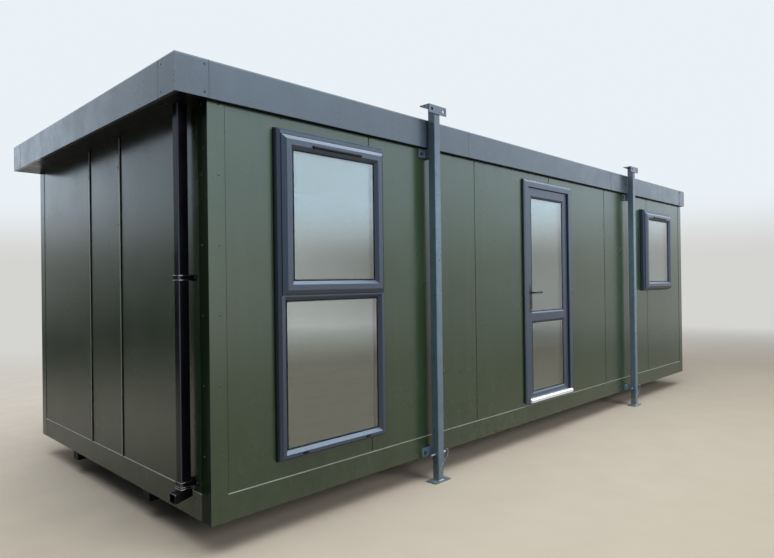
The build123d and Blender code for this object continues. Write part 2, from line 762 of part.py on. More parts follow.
def lifting_angle():
    """The angle across the post's head, with two holes in its face for the lifting tackle."""
    z_top = base_z + post_top + angle_thickness
    y_face = -post_half - angle_thickness
    top = slab(-angle_length / 2, angle_length / 2, y_face, y_face + angle_depth,
               z_top - angle_thickness, z_top)
    face = slab(-angle_length / 2, angle_length / 2, y_face, -post_half, z_top - angle_drop, z_top)
    holes = [Pos(side * lifting_hole_spacing / 2, y_face + angle_thickness / 2, z_top - lifting_hole_drop)
             * Rot(90, 0, 0) * Cylinder(lifting_hole_radius, angle_thickness) for side in (-1, 1)]
    return top + face - holes


def wall_bracket(z0, skin):
    """A plate bolted to the wall and two gussets that carry the post; skin is what lies under it."""
    y_wall = post_half + post_standoff - skin
    plate = slab(-bracket_length / 2, bracket_length / 2, y_wall - bracket_thickness, y_wall,
                 z0, z0 + bracket_height)
    gussets = [slab(side * (post_half - bracket_gusset / 2) - bracket_gusset / 2,
                    side * (post_half - bracket_gusset / 2) + bracket_gusset / 2,
                    post_half, y_wall - bracket_thickness, z0, z0 + bracket_height) for side in (-1, 1)]
    return plate + gussets


leg_foot_z = foot_thickness


def jack_leg():
    """The inner tube with its row of pin holes, welded to a foot plate."""
    tube = square_tube(leg_size, leg_wall, leg_foot_z, leg_foot_z + leg_length)
    for i in range(leg_hole_count):
        z = pin_z + i * leg_hole_pitch
        tube -= Pos(0, 0, z) * Rot(0, 90, 0) * Cylinder(pin_radius + pin_clearance, 2 * leg_size)
    return tube + slab(-foot_length / 2, foot_length / 2, -foot_width / 2, foot_width / 2, 0, foot_thickness)


def jack_pin():
    """The steel pin that carries the post on the leg."""
    return Pos(0, 0, pin_z) * Rot(0, 90, 0) * Cylinder(pin_radius, pin_length)


post_near_x = near_x + post_from_near_end
post_far_x = far_x - post_from_far_end
post_places = {"front_near": (post_near_x, -1), "front_far": (post_far_x, -1),
               "back_near": (post_near_x, 1), "back_far": (post_far_x, 1)}


def set_out(solid, place):
    """Sets a jack piece against the front wall, or its mirror image against the back wall."""
    x, y_side = place
    stood = Pos(x, post_y, 0) * solid
    return stood if y_side < 0 else mirror_y(stood)


low_bracket_z = base_z
high_bracket_z = soffit_z - bracket_below_fascia - bracket_height
brackets = []
for place in post_places.values():
    brackets.append(set_out(wall_bracket(low_bracket_z, skirt_thickness), place))
    brackets.append(set_out(wall_bracket(high_bracket_z, 0), place))
nodes["jack_posts"] = [set_out(jack_post(), place) for place in post_places.values()]
nodes["lifting_angles"] = [set_out(lifting_angle(), place) for place in post_places.values()]
nodes["jack_wall_brackets"] = brackets
for name, place in post_places.items():
    nodes["jack_leg_" + name] = set_out(jack_leg(), place)
    nodes["jack_pin_" + name] = set_out(jack_pin(), place)

os.makedirs("parts", exist_ok=True)
for name, shape in nodes.items():
    pieces = shape if isinstance(shape, list) else [shape]
    solids = [solid for piece in pieces for solid in piece.solids()]
    part = solids[0] if len(solids) == 1 else Compound(children=solids)
    export_step(part, os.path.join("parts", name + ".step"))
    print(name, len(solids), round(sum(solid.volume for solid in solids) / 1e9, 5))
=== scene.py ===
import json
import math

import bmesh
import bpy
from mathutils import Matrix, Vector


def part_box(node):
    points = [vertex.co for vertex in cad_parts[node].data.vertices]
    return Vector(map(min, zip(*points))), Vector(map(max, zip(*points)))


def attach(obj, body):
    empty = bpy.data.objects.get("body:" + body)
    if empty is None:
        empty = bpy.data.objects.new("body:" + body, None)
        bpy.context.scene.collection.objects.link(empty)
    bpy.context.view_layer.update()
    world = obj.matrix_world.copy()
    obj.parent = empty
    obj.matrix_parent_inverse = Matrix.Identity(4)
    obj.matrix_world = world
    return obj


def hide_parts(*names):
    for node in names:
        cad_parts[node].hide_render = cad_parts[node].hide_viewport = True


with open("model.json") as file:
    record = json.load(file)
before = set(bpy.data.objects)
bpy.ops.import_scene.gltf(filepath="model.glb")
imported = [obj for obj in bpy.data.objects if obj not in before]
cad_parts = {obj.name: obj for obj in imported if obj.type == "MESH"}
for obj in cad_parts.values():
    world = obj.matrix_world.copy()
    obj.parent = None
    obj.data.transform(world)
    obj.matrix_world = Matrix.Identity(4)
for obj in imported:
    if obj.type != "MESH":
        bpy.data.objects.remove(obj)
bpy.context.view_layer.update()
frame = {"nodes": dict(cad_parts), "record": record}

# Named places, in metres, read from the frame

wall_low, wall_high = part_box("back_wall")
front_low, front_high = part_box("front_wall_near")
near_x = wall_low.x
far_x = wall_high.x
front_y = front_low.y
back_y = wall_high.y
wall_foot = wall_low.z
wall_top = wall_high.z
wall_thickness = front_high.y - front_low.y
fascia_low, fascia_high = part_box("fascia_front")
soffit_z = fascia_low.z
roof_z = fascia_high.z
ring_x0 = fascia_low.x
ring_x1 = fascia_high.x
ring_y0 = fascia_low.y
ring_y1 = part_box("fascia_back")[1].y
skirt_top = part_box("skirt_flashings")[1].z
floor_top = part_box("floor_deck")[1].z
middle_x = (near_x + far_x) / 2
half_length = (far_x - near_x) / 2

# Sizes that the frame's boxes don't give, and each wall's face with its outward direction

trim_leg = 0.105
trim_thickness = 0.0025
cap_leg = 0.195
sheet_width = 1.219
end_joints = (1.190, 1.762)
line_height = 0.0004
long_walls = ((front_y, -1), (back_y, 1))
end_walls = ((near_x, -1), (far_x, 1))
leg_names = ("front_near", "front_far", "back_near", "back_far")


# Node helpers

def srgb(red, green, blue):
    """A colour given as 0 to 255 values, as linear light."""
    def linear(value):
        value /= 255
        return value / 12.92 if value <= 0.04045 else ((value + 0.055) / 1.055) ** 2.4
    return (linear(red), linear(green), linear(blue), 1.0)


class Finish:
    """A material with a Principled shader, and short calls for the nodes that feed it."""

    def __init__(self, name):
        self.material = bpy.data.materials.new(name)
        self.material.use_nodes = True
        self.tree = self.material.node_tree
        self.shader = self.tree.nodes["Principled BSDF"]
        self.output = self.tree.nodes["Material Output"]
        self.place = self.node("TexCoord").outputs["Object"]
        self.height = None

    def node(self, kind, inputs=None, **settings):
        """A new node with these inputs and settings."""
        made = self.tree.nodes.new("ShaderNode" + kind)
        for key, value in settings.items():
            setattr(made, key, value)
        for key, value in (inputs or {}).items():
            self.feed(made.inputs[key], value)
        return made

    def feed(self, socket, value):
        """Links a socket to another, or gives it a constant."""
        if isinstance(value, bpy.types.NodeSocket):
            self.tree.links.new(value, socket)
        else:
            socket.default_value = value

    def tone(self):
        """The colour that feeds the shader so far."""
        return self.shader.inputs["Base Color"].links[0].from_socket

    def set(self, **values):
        """Sets the shader's own sockets; an underscore in a name stands for a space."""
        for key, value in values.items():
            self.feed(self.shader.inputs[key.replace("_", " ")], value)
        return self

    def noise(self, scale, detail, stretch=(1, 1, 1), roughness=0.5):
        """Noise with scale features a metre, stretched by the given factors."""
        place = self.node("Mapping", {"Vector": self.place, "Scale": stretch}).outputs["Vector"]
        made = self.node("TexNoise", {"Vector": place, "Scale": scale, "Detail": detail,
                                      "Roughness": roughness})
        return made.outputs["Fac"]

    def axis(self, name):
        """One coordinate of the place on the object."""
        return self.node("SeparateXYZ", {"Vector": self.place}).outputs[name]

    def span(self, value, low, high, to_low=0.0, to_high=1.0):
        """Maps a value from one range to another, held at the ends."""
        made = self.node("MapRange", {"Value": value, "From Min": low, "From Max": high,
                                      "To Min": to_low, "To Max": to_high}, clamp=True)
        return made.outputs["Result"]

    def math(self, operation, first, second=0.0):
        """One step of arithmetic."""
        return self.node("Math", {0: first, 1: second}, operation=operation).outputs[0]

    def times(self, first, second):
        """The product of two numbers."""
        return self.math("MULTIPLY", first, second)

    def vector(self, operation, first, second=(0.0, 0.0, 0.0), output="Vector"):
        """One step of vector arithmetic."""
        return self.node("VectorMath", {0: first, 1: second}, operation=operation).outputs[output]

    def mix(self, factor, first, second):
        """A blend of two colours."""
        return self.node("Mix", {0: factor, 6: first, 7: second}, data_type="RGBA").outputs[2]

    def blend(self, factor, first, second):
        """A blend of two numbers."""
        return self.node("Mix", {0: factor, 2: first, 3: second}, data_type="FLOAT").outputs[0]

    def seen(self):
        """1 for what the camera, metal and glass see, 0 for the light that falls on dull surfaces."""
        path = self.node("LightPath").outputs
        either = self.math("MAXIMUM", path["Is Camera Ray"], path["Is Glossy Ray"])
        return self.math("MAXIMUM", either, path["Is Transmission Ray"])

    def bump(self, height, distance):
        """Adds a bump whose full height is the given distance in metres."""
        inputs = {"Height": height, "Distance": distance}
        if self.height is not None:
            inputs["Normal"] = self.height
        self.height = self.node("Bump", inputs).outputs["Normal"]
        self.feed(self.shader.inputs["Normal"], self.height)

    def cover(self, factor, other):
        """Blends another shader over the Principled one."""
        both = self.node("MixShader", {0: factor, 1: self.shader.outputs[0], 2: other.outputs[0]})
        self.feed(self.output.inputs["Surface"], both.outputs[0])


def end_mask(f, inset=0.0):
    """1 on the end walls and past them, 0 between; inset moves the limit inwards."""
    past_middle = f.math("ABSOLUTE", f.math("SUBTRACT", f.axis("X"), middle_x))
    return f.math("GREATER_THAN", past_middle, half_length - inset)


def inside_mask(f):
    """1 on the room side of the walls, 0 outside."""
    half = wall_thickness / 2
    x, y, z = f.axis("X"), f.axis("Y"), f.axis("Z")
    mask = f.math("GREATER_THAN", x, near_x + half)
    for test, value, edge in (("LESS_THAN", x, far_x - half), ("GREATER_THAN", y, front_y + half),
                              ("LESS_THAN", y, back_y - half), ("LESS_THAN", z, wall_top + half)):
        mask = f.times(mask, f.math(test, value, edge))
    return mask


# Materials

def olive_coat(f, on_end):
    """Streaked olive green, lighter in streaks near the top, scuffed in places, and with painted shade
    under the eaves of the ends.
    """
    z = f.axis("Z")
    streaks = f.noise(9, 3, (1, 1, 0.05))
    green = f.mix(f.span(streaks, 0.35, 0.7), srgb(43, 62, 42), srgb(38, 56, 37))
    green = f.mix(f.span(f.noise(0.8, 2), 0.3, 0.75, 0.0, 0.35), green, srgb(47, 64, 45))
    # lighter in streaks towards the top
    lighter_top_streaks = f.times(f.span(z, soffit_z - 0.35, soffit_z, 0.0, 0.30), f.span(streaks, 0.42, 0.62))
    green = f.mix(lighter_top_streaks, green, srgb(74, 82, 76))
    splash = f.times(f.span(z, wall_foot + 0.30, wall_foot, 0.0, 0.30), f.span(f.noise(14, 5), 0.35, 0.7))
    green = f.mix(splash, green, srgb(82, 78, 64))
    scuffs = f.times(f.span(f.noise(18, 4, (1, 1, 0.3)), 0.60, 0.78), f.span(z, 1.1, 0.35, 0.0, 0.35))
    green = f.mix(scuffs, green, srgb(84, 92, 80))
    # painted shade: the ends darken towards the soffit, as under the overhang
    painted_eaves_shade = f.times(f.span(z, soffit_z - 0.17, soffit_z - 0.07, 0.0, 0.75), on_end)
    return f.mix(painted_eaves_shade, green, srgb(10, 12, 11))


def cladding(name):
    """Olive green coated steel, with a dull film low on the ends; pale lining on the room side."""
    f = Finish(name)
    on_end = end_mask(f, 0.001)
    inside = inside_mask(f)
    film = f.times(f.span(f.axis("Z"), 1.2, 0.35), on_end)
    lining = f.mix(f.span(f.noise(60, 2), 0.3, 0.7), srgb(205, 204, 198), srgb(196, 195, 189))
    f.set(Base_Color=f.mix(inside, olive_coat(f, on_end), lining), IOR=f.blend(film, 1.6, 1.36))
    gloss = f.span(f.noise(2.2, 4), 0.3, 0.7, 0.21, 0.29)
    f.set(Roughness=f.math("ADD", gloss, f.times(inside, 0.35)))
    f.bump(f.noise(1.1, 1, (1, 1, 0.6)), 0.0016)
    f.bump(f.noise(40, 2, (1, 1, 0.3)), 0.00003)
    return f


def corner_trim():
    """The cladding's finish on the folded trims; at the front the legs on the ends are dull and darkened
    with painted shade.
    """
    f = cladding("corner_trim")
    y = f.axis("Y")
    leg = f.times(f.span(y, front_y - trim_thickness / 2, front_y), f.math("LESS_THAN", y, 0.0))
    # painted shade: the end legs of the front trims are darkened as if in shade
    f.set(Base_Color=f.mix(f.times(leg, 0.6), f.tone(), srgb(12, 18, 14)))
    f.set(IOR=f.blend(leg, 1.6, 1.12))
    return f.material


def painted_steel(name, light, dark, roughness, grime, grain=300):
    """Coated sheet or section: two close tones, rain streaks, a fine skin."""
    f = Finish(name)
    streaks = f.noise(11, 4, (1, 1, 0.06))
    tone = f.mix(f.span(streaks, 0.3, 0.72), light, dark)
    blotch = f.span(f.noise(5, 4), 0.50, 0.80, 0.0, 0.25)
    f.set(Base_Color=f.mix(blotch, tone, grime))
    f.set(Roughness=f.span(f.noise(7, 4), 0.3, 0.7, roughness - 0.05, roughness + 0.08))
    f.bump(f.noise(grain, 3), 0.00002)
    return f


def fascia():
    """Slate grey coated steel, with a painted highlight along its upper fold."""
    f = painted_steel("fascia", srgb(59, 71, 82), srgb(53, 65, 76), 0.29, srgb(62, 71, 78))
    # painted highlight: the upper fold is lightened as if catching the sky
    edge = f.span(f.axis("Z"), roof_z - 0.010, roof_z - 0.002, 0.0, 0.55)
    f.set(Base_Color=f.mix(edge, f.tone(), srgb(150, 162, 172)), IOR=1.58)
    f.bump(f.noise(1.4, 1), 0.0012)
    return f.material


def frames():
    """Anthracite foil on the window and door profiles: a close satin grain."""
    f = Finish("frames")
    grain = f.noise(240, 5, roughness=0.65)
    f.set(Base_Color=f.mix(f.span(grain, 0.35, 0.7), srgb(54, 66, 84), srgb(46, 57, 73)), IOR=1.52)
    f.set(Roughness=f.span(f.noise(30, 3), 0.3, 0.7, 0.28, 0.36))
    f.bump(grain, 0.00005)
    return f.material


def jack_steel():
    """Blue-grey paint on heavy steel, with painted shade towards the post heads, chipped and rusty near the
    ground.
    """
    f = Finish("jack_steel")
    z = f.axis("Z")
    paint = f.mix(f.span(f.noise(16, 5), 0.35, 0.7), srgb(92, 115, 131), srgb(82, 103, 118))
    low = f.span(z, 0.42, 0.05)
    chips = f.times(f.span(f.noise(70, 6, roughness=0.7), 0.60, 0.66), low)
    rust = f.mix(f.noise(120, 3), srgb(92, 66, 50), srgb(70, 56, 50))
    dust = f.times(f.span(z, 0.16, 0.0, 0.0, 0.6), f.span(f.noise(40, 4), 0.3, 0.7))
    # painted shade: the paint darkens towards the post heads
    paint = f.mix(f.span(z, 2.05, 2.60, 0.0, 0.75), paint, srgb(42, 48, 62))
    colour = f.mix(dust, f.mix(chips, paint, rust), srgb(134, 132, 120))
    f.set(Base_Color=colour, IOR=1.65)
    f.set(Roughness=f.math("ADD", f.span(f.noise(18, 4), 0.3, 0.7, 0.26, 0.38), f.times(chips, 0.4)))
    f.bump(f.noise(90, 4), 0.00018)
    return f.material


def downpipe():
    """Black plastic, with a painted highlight along its outer corner."""
    f = painted_steel("downpipe", srgb(10, 11, 17), srgb(7, 8, 12), 0.18, srgb(18, 19, 23))
    pipe_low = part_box("downpipe")[0]
    shoe_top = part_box("downpipe_shoe")[1].z
    corner = pipe_low.x + pipe_low.y
    # painted highlight: a lighter line along the outer corner above the shoe
    painted_corner_highlight = f.span(f.math("ADD", f.axis("X"), f.axis("Y")), corner + 0.0065, corner + 0.0035, 0.0, 0.75)
    painted_corner_highlight = f.times(painted_corner_highlight, f.math("GREATER_THAN", f.axis("Z"), shoe_top))
    f.set(Base_Color=f.mix(painted_corner_highlight, f.tone(), srgb(88, 94, 108)), IOR=1.2)
    return f.material


def deck():
    """Plywood with a long grain, dark on the floor's underside, and a white ceiling over the room."""
    f = Finish("deck")
    ply, overhead = 0.030, 2.0
    grain = f.noise(14, 6, (0.12, 1.6, 1.0), 0.6)
    wood = f.mix(f.span(grain, 0.32, 0.68), srgb(176, 150, 116), srgb(148, 120, 88))
    ceiling = f.times(inside_mask(f), f.math("GREATER_THAN", f.axis("Z"), overhead))
    underside = f.span(f.axis("Z"), floor_top - ply, floor_top - ply - 0.004)
    wood = f.mix(underside, wood, srgb(62, 56, 48))
    f.set(Base_Color=f.mix(ceiling, wood, srgb(208, 208, 204)))
    f.set(Roughness=f.span(grain, 0.3, 0.7, 0.5, 0.7))
    f.bump(grain, 0.0004)
    return f.material


def metal(name, light, dark, low, high, scale):
    """Bare metal with a mottled surface between two roughness values."""
    f = Finish(name)
    cells = f.node("TexVoronoi", {"Vector": f.place, "Scale": scale}).outputs["Color"]
    spangle = f.node("SeparateColor", {"Color": cells}).outputs["Red"]
    f.set(Base_Color=f.mix(spangle, light, dark), Metallic=0.9)
    f.set(Roughness=f.span(f.noise(50, 4), 0.3, 0.7, low, high))
    f.bump(f.noise(400, 3), 0.00005)
    return f.material


def threshold():
    """Mill-finish aluminium with drawn lines along its length."""
    f = Finish("threshold")
    lines = f.noise(700, 2, (0.01, 1, 1))
    f.set(Base_Color=f.mix(lines, srgb(240, 242, 244), srgb(220, 223, 226)), Metallic=0.6)
    f.set(Roughness=f.span(f.noise(40, 4), 0.3, 0.7, 0.32, 0.5))
    f.bump(lines, 0.00006)
    return f.material


def sheet_edge():
    """The cut and folded edges of the cladding, lighter than its faces by wear and painted highlight, with
    more painted highlight on the ends.
    """
    f = painted_steel("sheet_edge", srgb(124, 130, 114), srgb(104, 110, 96), 0.34, srgb(80, 86, 72), 600)
    # painted highlight: the edges on the ends are lighter still
    return f.set(Base_Color=f.mix(end_mask(f), f.tone(), srgb(140, 146, 134))).material


def glass():
    """Tinted sealed glass with a faint film of dust; light passes it freely."""
    f = Finish("glass")
    f.set(Base_Color=(0.62, 0.70, 0.68, 1.0), Transmission_Weight=1.0, IOR=2.0)
    f.set(Roughness=f.span(f.noise(4, 4), 0.45, 0.75, 0.0, 0.02))
    clear = f.node("BsdfTransparent", {"Color": (0.72, 0.78, 0.77, 1.0)})
    f.cover(f.node("LightPath").outputs["Is Shadow Ray"], clear)
    return f.material


# Coats that differ only in tone and gloss: light, dark, roughness, grime, grain, further settings

plain_coats = {
    "soffit": ((13, 14, 17), (10, 11, 14), 0.30, (20, 21, 22), 300, {"IOR": 1.25}),
    "gloss_edge": ((20, 21, 27), (14, 15, 19), 0.14, (24, 25, 29), 300, {"IOR": 3.0}),
    "vent": ((10, 11, 14), (8, 9, 11), 0.40, (18, 18, 20), 300, {"IOR": 1.2}),
    "chassis": ((14, 14, 14), (9, 9, 9), 0.60, (40, 37, 33), 300, {"Specular_IOR_Level": 0.1}),
    "roof": ((146, 151, 152), (136, 141, 143), 0.45, (112, 112, 102), 300, {}),
    "handle": ((20, 21, 23), (16, 17, 19), 0.30, (34, 34, 36), 500, {}),
    "rubber": ((11, 11, 12), (8, 8, 9), 0.62, (18, 18, 18), 600, {"IOR": 1.2}),
    "rivet": ((22, 26, 22), (17, 20, 17), 0.34, (40, 40, 36), 600, {}),
}

# Bare metals: light, dark, lowest and highest roughness, cells a metre

bare_metals = {
    "galvanised": ((196, 200, 202), (166, 170, 174), 0.30, 0.48, 90),
    "hinge": ((190, 192, 196), (170, 172, 178), 0.25, 0.38, 160),
    "fastener": ((74, 80, 86), (58, 63, 69), 0.28, 0.40, 300),
    "spacer": ((96, 102, 106), (82, 88, 92), 0.30, 0.45, 160),
    "linch_pin": ((154, 154, 164), (128, 128, 138), 0.34, 0.48, 300),
}

materials = {make.__name__: make() for make in (corner_trim, fascia, frames, jack_steel, downpipe, deck,
                                                threshold, sheet_edge, glass)}
materials["wall_cladding"] = cladding("wall_cladding").material
for name, (light, dark, roughness, grime, grain, settings) in plain_coats.items():
    coat = painted_steel(name, srgb(*light), srgb(*dark), roughness, srgb(*grime), grain)
    materials[name] = coat.set(**settings).material
for name, (light, dark, lowest, highest, cells) in bare_metals.items():
    materials[name] = metal(name, srgb(*light), srgb(*dark), lowest, highest, cells)


def give_material(node, name):
    """Puts one material on all slots of a carried-over node."""
    for material_slot in frame["nodes"][node].material_slots:
        material_slot.material = materials[name]


for subpart in frame["record"]["subparts"]:
    give_material(subpart["node"], subpart["material_slot"])
give_material("corner_trims", "corner_trim")
for leg in leg_names:
    give_material("jack_pin_" + leg, "linch_pin")


# Mesh helpers

sharp_angle = 0.6


def add_block(bm, low, high, bevel=0.0, segments=2):
    """A block between two corners, its edges rounded."""
    low, high = Vector(low), Vector(high)
    middle, size = (low + high) / 2, high - low
    verts = bmesh.ops.create_cube(bm, size=1.0)["verts"]
    for v in verts:
        v.co = Vector((v.co.x * size.x, v.co.y * size.y, v.co.z * size.z)) + middle
    if bevel > 0:
        edges = list({e for v in verts for e in v.link_edges})
        bmesh.ops.bevel(bm, geom=edges, offset=bevel, segments=segments, affect="EDGES", profile=0.5)


def add_sweep(bm, outline, start, end, across, up):
    """A closed outline of (across, up) points drawn along a straight run."""
    start, end = Vector(start), Vector(end)
    across, up = Vector(across), Vector(up)
    rings = [[bm.verts.new(base + across * a + up * b) for a, b in outline] for base in (start, end)]
    count = len(outline)
    for i in range(count):
        j = (i + 1) % count
        bm.faces.new((rings[0][i], rings[0][j], rings[1][j], rings[1][i]))
    bm.faces.new(list(reversed(rings[0])))
    bm.faces.new(rings[1])


def add_lathe(bm, outline, centre, axis, segments):
    """(radius, height) points turned about an axis; the first and last points are on it."""
    centre, axis = Vector(centre), Vector(axis).normalized()
    side = axis.orthogonal().normalized()
    other = axis.cross(side)
    rings = []
    for radius, height in outline:
        base = centre + axis * height
        if radius == 0:
            rings.append([bm.verts.new(base)])
            continue
        rings.append([bm.verts.new(base + (side * math.cos(t) + other * math.sin(t)) * radius)
                      for t in (2 * math.pi * k / segments for k in range(segments))])
    for low, high in zip(rings, rings[1:]):
        for k in range(segments):
            n = (k + 1) % segments
            corners = [low[k % len(low)], low[n % len(low)], high[n % len(high)], high[k % len(high)]]
            unique = [v for i, v in enumerate(corners) if v not in corners[:i]]
            if len(unique) > 2:
                bm.faces.new(unique)


def finish_piece(name, bm, material, body):
    """Turns a bmesh into a piece with its material that rides on a body."""
    bmesh.ops.recalc_face_normals(bm, faces=bm.faces)
    mesh = bpy.data.meshes.new(name)
    bm.to_mesh(mesh)
    bm.free()
    for polygon in mesh.polygons:
        polygon.use_smooth = True
    mesh.set_sharp_from_angle(angle=sharp_angle)
    mesh.materials.append(materials[material])
    piece = bpy.data.objects.new(name, mesh)
    bpy.context.scene.collection.objects.link(piece)
    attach(piece, body)
    return piece


def solid_boxes(node):
    """The lowest and highest corners of each separate solid of a node."""
    bm = bmesh.new()
    bm.from_mesh(frame["nodes"][node].data)
    bmesh.ops.remove_doubles(bm, verts=bm.verts, dist=1e-6)
    left, boxes = set(bm.verts), []
    while left:
        group = [left.pop()]
        for v in group:
            # the group grows by what its corners are joined to
            joined = left.intersection(edge.other_vert(v) for edge in v.link_edges)
            left -= joined
            group += joined
        boxes.append(tuple(Vector([pick(v.co[i] for v in group) for i in range(3)]) for pick in (min, max)))
    bm.free()
    return sorted(boxes, key=lambda box: tuple(box[0]))


def add_ring(bm, low, high, margin, width, y0, y1):
    """Four bars round a box as seen from the front, their outer edges a margin outside it."""
    x0, x1 = low.x - margin, high.x + margin
    z0, z1 = low.z - margin, high.z + margin
    add_block(bm, (x0, y0, z0), (x0 + width, y1, z1))
    add_block(bm, (x1 - width, y0, z0), (x1, y1, z1))
    add_block(bm, (x0 + width, y0, z0), (x1 - width, y1, z0 + width))
    add_block(bm, (x0 + width, y0, z1 - width), (x1 - width, y1, z1))


def layer(face, step):
    """The two limits of a layer on a face, lowest first."""
    return sorted((face, face + step))


def add_wire(bm, points, radius, sides=6, closed=False):
    """A round wire through a row of points."""
    points = [Vector(p) for p in points]
    count = len(points)
    rings = []
    for i, point in enumerate(points):
        before = points[i - 1] if closed or i > 0 else point
        after = points[(i + 1) % count] if closed or i < count - 1 else point
        along = (after - before).normalized()
        side = along.cross(Vector((0.31, 0.17, 0.93))).normalized()
        other = along.cross(side)
        turns = [2 * math.pi * k / sides for k in range(sides)]
        rings.append([bm.verts.new(point + (side * math.cos(t) + other * math.sin(t)) * radius)
                      for t in turns])
    for i in range(count if closed else count - 1):
        low, high = rings[i], rings[(i + 1) % count]
        for k in range(sides):
            n = (k + 1) % sides
            bm.faces.new((low[k], low[n], high[n], high[k]))
    if not closed:
        bm.faces.new(list(reversed(rings[0])))
        bm.faces.new(rings[-1])


def circle(centre, radius, count):
    """Points round a circle that faces along X."""
    turns = [2 * math.pi * k / count for k in range(count)]
    return [Vector(centre) + Vector((0, math.cos(t), math.sin(t))) * radius for t in turns]


# Fixings, each as (radius, height) points from the top of its head down to the sheet

rivet_profile = [(0.0, 0.0026), (0.0030, 0.0022), (0.0052, 0.0010), (0.0060, 0.0), (0.0, 0.0)]
screw_profile = [(0.0, 0.0046), (0.0038, 0.0046), (0.0046, 0.0040), (0.0046, 0.0014), (0.0078, 0.0012),
                 (0.0084, 0.0004), (0.0084, 0.0), (0.0, 0.0)]
flat_screw = [(0.0, 0.0003), (0.0012, 0.0003), (0.0020, 0.0010), (0.0040, 0.0008), (0.0044, 0.0),
              (0.0, 0.0)]
low_screw = [(0.0, 0.0009), (0.0062, 0.0009), (0.0084, 0.0003), (0.0084, 0.0), (0.0, 0.0)]
washer_profile = [(0.0, 0.0030), (0.0135, 0.0030), (0.0150, 0.0022), (0.0150, 0.0), (0.0, 0.0)]
nut_profile = [(0.0, 0.0110), (0.0078, 0.0110), (0.0096, 0.0096), (0.0104, 0.0080), (0.0104, 0.0030),
               (0.0, 0.0030)]
thread_profile = [(0.0, 0.0150), (0.0046, 0.0150), (0.0050, 0.0110), (0.0, 0.0110)]

# Places of the fixings in the cladding

rivet_rows = [soffit_z - 0.015 - 0.390 * i for i in range(6)]
end_rivet_rows = [soffit_z - 0.195 - 0.398 * i for i in range(5)]
post_centres = sorted({round((low.x + high.x) / 2, 4) for low, high in solid_boxes("jack_posts")})
long_joints = [near_x + sheet_width * i for i in range(1, 6)]
openings = [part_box(node) for node in ("tall_window_frame", "small_window_frame", "door_frame")]
trim_rivet_inset = 0.065
eaves_rivet_start = 0.487
eaves_rivet_pitch = 0.420
post_clearance = 0.12
opening_clearance = 0.03
rivet_to_joint = 0.018
screw_to_joint = 0.040


def is_free(x, z):
    """Whether the front wall shows at a place, clear of windows and door."""
    margin = opening_clearance
    return not any(low.x - margin < x < high.x + margin and low.z - margin < z < high.z + margin
                   for low, high in openings)


def add_rivets(bm, points, outward):
    """A blind rivet at each point."""
    for point in points:
        add_lathe(bm, rivet_profile, point, outward, 10)


def eaves_rivets(bm, y, outward):
    """Rivets along the top of a long wall, clear of the posts."""
    x = near_x + eaves_rivet_start
    while x < far_x - trim_leg:
        if min(abs(x - centre) for centre in post_centres) > post_clearance:
            add_rivets(bm, [(x, y, rivet_rows[0])], (0, outward, 0))
        x += eaves_rivet_pitch


def joint_rivets(bm, y, outward):
    """Rivets beside the upright joints of a long wall, clear of windows and door."""
    for joint in long_joints:
        x = joint - rivet_to_joint
        free = [z for z in rivet_rows[1:] if y > 0 or is_free(x, z)]
        add_rivets(bm, [(x, y, z) for z in free], (0, outward, 0))


def cladding_rivets():
    """Blind rivets in the corner trims and the long walls, and screws beside the joints of the ends."""
    bm = bmesh.new()
    for y, outward in ((front_y - trim_thickness, -1), (back_y + trim_thickness, 1)):
        for x in (near_x + trim_rivet_inset, far_x - trim_rivet_inset):
            add_rivets(bm, [(x, y, z) for z in rivet_rows], (0, outward, 0))
    for x, outward in ((near_x - trim_thickness, -1), (far_x + trim_thickness, 1)):
        for y in (front_y + trim_rivet_inset, back_y - trim_rivet_inset):
            add_rivets(bm, [(x, y, z) for z in rivet_rows], (outward, 0, 0))
    for y, outward in long_walls:
        eaves_rivets(bm, y, outward)
        joint_rivets(bm, y, outward)
    for x, outward in end_walls:
        for joint in end_joints:
            y = front_y + joint + screw_to_joint
            for z in end_rivet_rows:
                add_lathe(bm, screw_profile, (x, y, z), (outward, 0, 0), 10)
    finish_piece("cladding_rivets", bm, "rivet", "cabin")


# Sheet joints and skirt hems

def free_runs(x, low_z, high_z):
    """The upright runs of the front wall at x that no window or door covers."""
    runs, start = [], low_z
    for low, high in sorted(openings, key=lambda box: box[0].z):
        if low.x < x < high.x:
            if low.z > start:
                runs.append((start, low.z))
            start = max(start, high.z)
    if start < high_z:
        runs.append((start, high_z))
    return runs


def long_wall_joints(seals, laps):
    """The upright joints of the long walls, broken by windows and door."""
    half, lap, proud = 0.0030, 0.0060, 0.0010
    outline = [(half, 0), (half + line_height, proud), (half + lap, 0)]
    for joint in long_joints:
        runs = [(front_y, -1, run) for run in free_runs(joint, skirt_top, soffit_z)]
        runs.append((back_y, 1, (skirt_top, soffit_z)))
        for y, outward, (z0, z1) in runs:
            y0, y1 = layer(y, outward * line_height)
            add_block(seals, (joint - half, y0, z0), (joint + half, y1, z1))
            add_sweep(laps, outline, (joint, y, z0), (joint, y, z1), (1, 0, 0), (0, outward, 0))


def trim_seams(seals):
    """A dark seam beside each corner trim on the long walls."""
    seam = 0.0016
    for x in (near_x + trim_leg, far_x - trim_leg - seam):
        for y, outward in long_walls:
            y0, y1 = layer(y, outward * line_height)
            add_block(seals, (x, y0, skirt_top), (x + seam, y1, soffit_z))


